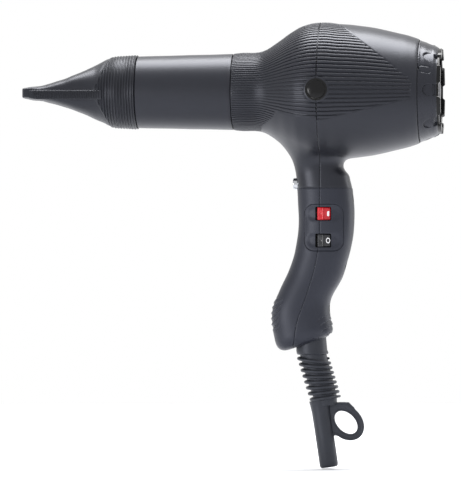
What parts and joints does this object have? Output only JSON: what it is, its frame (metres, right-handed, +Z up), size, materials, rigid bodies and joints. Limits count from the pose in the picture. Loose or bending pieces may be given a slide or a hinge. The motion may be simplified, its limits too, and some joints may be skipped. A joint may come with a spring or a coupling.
{
  "type": "hair dryer",
  "caption": "Professional hair dryer with a fishtail nozzle, ribbed round body, curved grip with rocker switches, cold-shot button and a strain relief with a hanging loop.",
  "frame": {"origin": "middle of the grip, on the plane of the vertical shell seam, 105 mm below the air axis", "axes": "+X along the air axis towards the filter cap (the nozzle points to -X), +Z up, the switches face -Y"},
  "size_m": [0.2873, 0.096, 0.3069],
  "materials": {
    "aluminium_small": "drawn",
    "badge": "glossy black",
    "barrel": "satin charcoal plastic, smooth",
    "boot": "soft matte rubber",
    "bronze": "sintered bronze",
    "cap": "satin dark plastic",
    "carbon": "pressed carbon",
    "casing": "satin charcoal plastic, ribbed",
    "chromed_button": "bright chromed plastic",
    "circuit_board": "green solder mask",
    "copper": "turned copper",
    "fan_resin": "moulded, plain",
    "grip": "satin charcoal plastic",
    "heat_resin": "moulded heat-proof resin",
    "heating_wire": "oxidised nickel-chrome wire",
    "inner_resin": "moulded, plain",
    "laminated_steel": "stacked laminations",
    "magnet": "ground ferrite",
    "mica": "pressed mica sheet",
    "nozzle": "satin charcoal plastic, ribbed collar",
    "rocker_black": "glossy black",
    "rocker_red": "glossy red",
    "steel_mesh": "fine woven steel screen",
    "steel_small": "bright zinc",
    "switch_resin": "moulded, plain",
    "wire_insulation": "brown and blue insulation",
    "zinc_steel": "zinc-plated deep-drawn steel"
  },
  "bodies": {
    "casing": {"badge_left": "badge", "badge_right": "badge", "barrel": "barrel", "barrel_liner": "mica", "cable_clamp": "inner_resin", "clamp_screws": "steel_small", "cold_shot_spring": "steel_small", "cold_shot_switch": "switch_resin", "fan_duct": "inner_resin", "front_bearing": "bronze", "front_handle": "grip", "front_shell": "casing", "handle_screws": "steel_small", "heat_switch_body": "switch_resin", "heater_coil_front": "heating_wire", "heater_coil_rear": "heating_wire", "heater_leads": "wire_insulation", "mains_leads": "wire_insulation", "mica_board_flat": "mica", "mica_board_upright": "mica", "motor_brushes": "carbon", "motor_can": "zinc_steel", "motor_cap": "inner_resin", "motor_magnets": "magnet", "outlet_guard": "heat_resin", "rear_bearing": "bronze", "rear_handle": "grip", "rear_shell": "casing", "rectifier_board": "circuit_board", "speed_switch_body": "switch_resin", "strain_relief": "boot", "thermal_fuse": "aluminium_small", "thermostat": "steel_small"},
    "nozzle": {"nozzle": "nozzle"},
    "filter_cap": {"filter_cap": "cap", "filter_mesh": "steel_mesh"},
    "rotor": {"motor_shaft": "steel_small", "armature": "laminated_steel", "commutator": "copper", "fan": "fan_resin"},
    "heat_rocker": {"heat_rocker": "rocker_red"},
    "speed_rocker": {"speed_rocker": "rocker_black"},
    "cold_shot_button": {"cold_shot_button": "chromed_button"}
  },
  "joints": [
    {"name": "nozzle_turn", "type": "hinge", "parent": "casing", "child": "nozzle", "pos_m": [-0.135, 0, 0.105], "axis": [1, 0, 0], "continuous": true},
    {"name": "cap_pull", "type": "slide", "parent": "casing", "child": "filter_cap", "axis": [1, 0, 0], "range_m": [0, 0.035]},
    {"name": "rotor_spin", "type": "hinge", "parent": "casing", "child": "rotor", "pos_m": [0.03, 0, 0.105], "axis": [1, 0, 0], "continuous": true},
    {"name": "heat_rocker_turn", "type": "hinge", "parent": "casing", "child": "heat_rocker", "pos_m": [0.0023, -0.0112, 0.0209], "axis": [0, 0, 1], "range_deg": [-20, 0]},
    {"name": "speed_rocker_turn", "type": "hinge", "parent": "casing", "child": "speed_rocker", "pos_m": [0.0023, -0.0112, 0.0025], "axis": [0, 0, 1], "range_deg": [-20, 0]},
    {"name": "cold_shot_press", "type": "slide", "parent": "casing", "child": "cold_shot_button", "axis": [1, 0, 0], "range_m": [0, 0.002], "stiffness_N_per_m": 600, "springref_m": -0.001, "deforming": ["cold_shot_spring"]}
  ]
}
